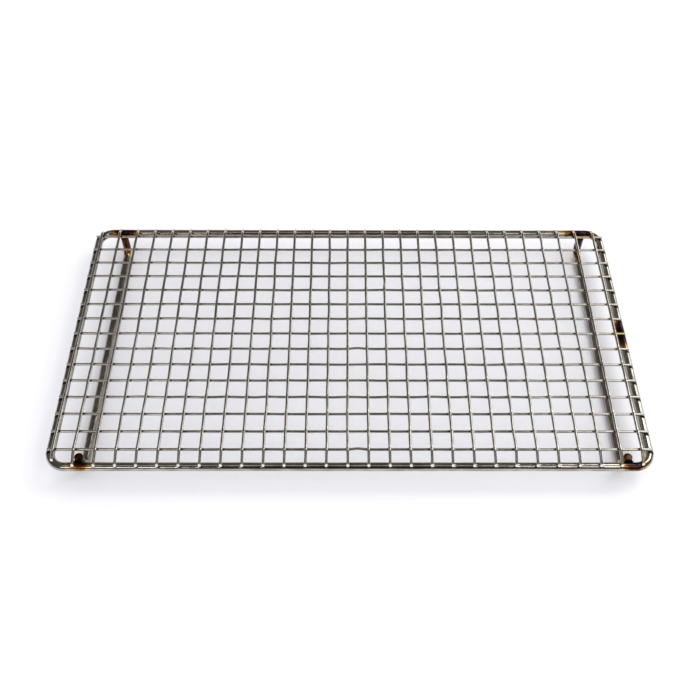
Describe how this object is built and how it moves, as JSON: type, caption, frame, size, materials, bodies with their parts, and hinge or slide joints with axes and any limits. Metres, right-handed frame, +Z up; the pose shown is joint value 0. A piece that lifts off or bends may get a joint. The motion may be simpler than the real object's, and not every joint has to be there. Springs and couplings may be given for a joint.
{
  "type": "cooling rack",
  "caption": "Rectangular wire cooling rack: a rounded ring of thick rod carries a grid of thin wires and stands on two U-shaped rod legs.",
  "frame": {"origin": "on the surface the rack stands on, at the middle of its bounding box", "axes": "+Z up through the grid, +X along the long side to the right, +Y from the front edge to the back edge"},
  "size_m": [0.437, 0.2364, 0.027],
  "materials": {
    "ring_rod": "bright drawn stainless rod, glossy, with heat tint beside the welds",
    "grid_wire": "bright drawn stainless wire",
    "leg_rod": "drawn stainless rod, glossy, heat-tinted brown at its welded ends"
  },
  "bodies": {
    "root": {"frame_ring": "ring_rod", "long_wire_01": "grid_wire", "long_wire_02": "grid_wire", "long_wire_03": "grid_wire", "long_wire_04": "grid_wire", "long_wire_05": "grid_wire", "long_wire_06": "grid_wire", "long_wire_07": "grid_wire", "long_wire_08": "grid_wire", "long_wire_09": "grid_wire", "long_wire_10": "grid_wire", "long_wire_11": "grid_wire", "long_wire_12": "grid_wire", "long_wire_13": "grid_wire", "long_wire_14": "grid_wire", "long_wire_15": "grid_wire", "long_wire_16": "grid_wire", "long_wire_17": "grid_wire", "long_wire_18": "grid_wire", "long_wire_19": "grid_wire", "long_wire_20": "grid_wire", "long_wire_21": "grid_wire", "long_wire_22": "grid_wire", "long_wire_23": "grid_wire", "long_wire_24": "grid_wire", "long_wire_25": "grid_wire", "long_wire_26": "grid_wire", "long_wire_27": "grid_wire", "long_wire_28": "grid_wire", "long_wire_29": "grid_wire", "cross_wire_01": "grid_wire", "cross_wire_02": "grid_wire", "cross_wire_03": "grid_wire", "cross_wire_04": "grid_wire", "cross_wire_05": "grid_wire", "cross_wire_06": "grid_wire", "cross_wire_07": "grid_wire", "cross_wire_08": "grid_wire", "cross_wire_09": "grid_wire", "cross_wire_10": "grid_wire", "cross_wire_11": "grid_wire", "cross_wire_12": "grid_wire", "cross_wire_13": "grid_wire", "cross_wire_14": "grid_wire", "cross_wire_15": "grid_wire", "left_leg": "leg_rod", "right_leg": "leg_rod"}
  },
  "joints": []
}
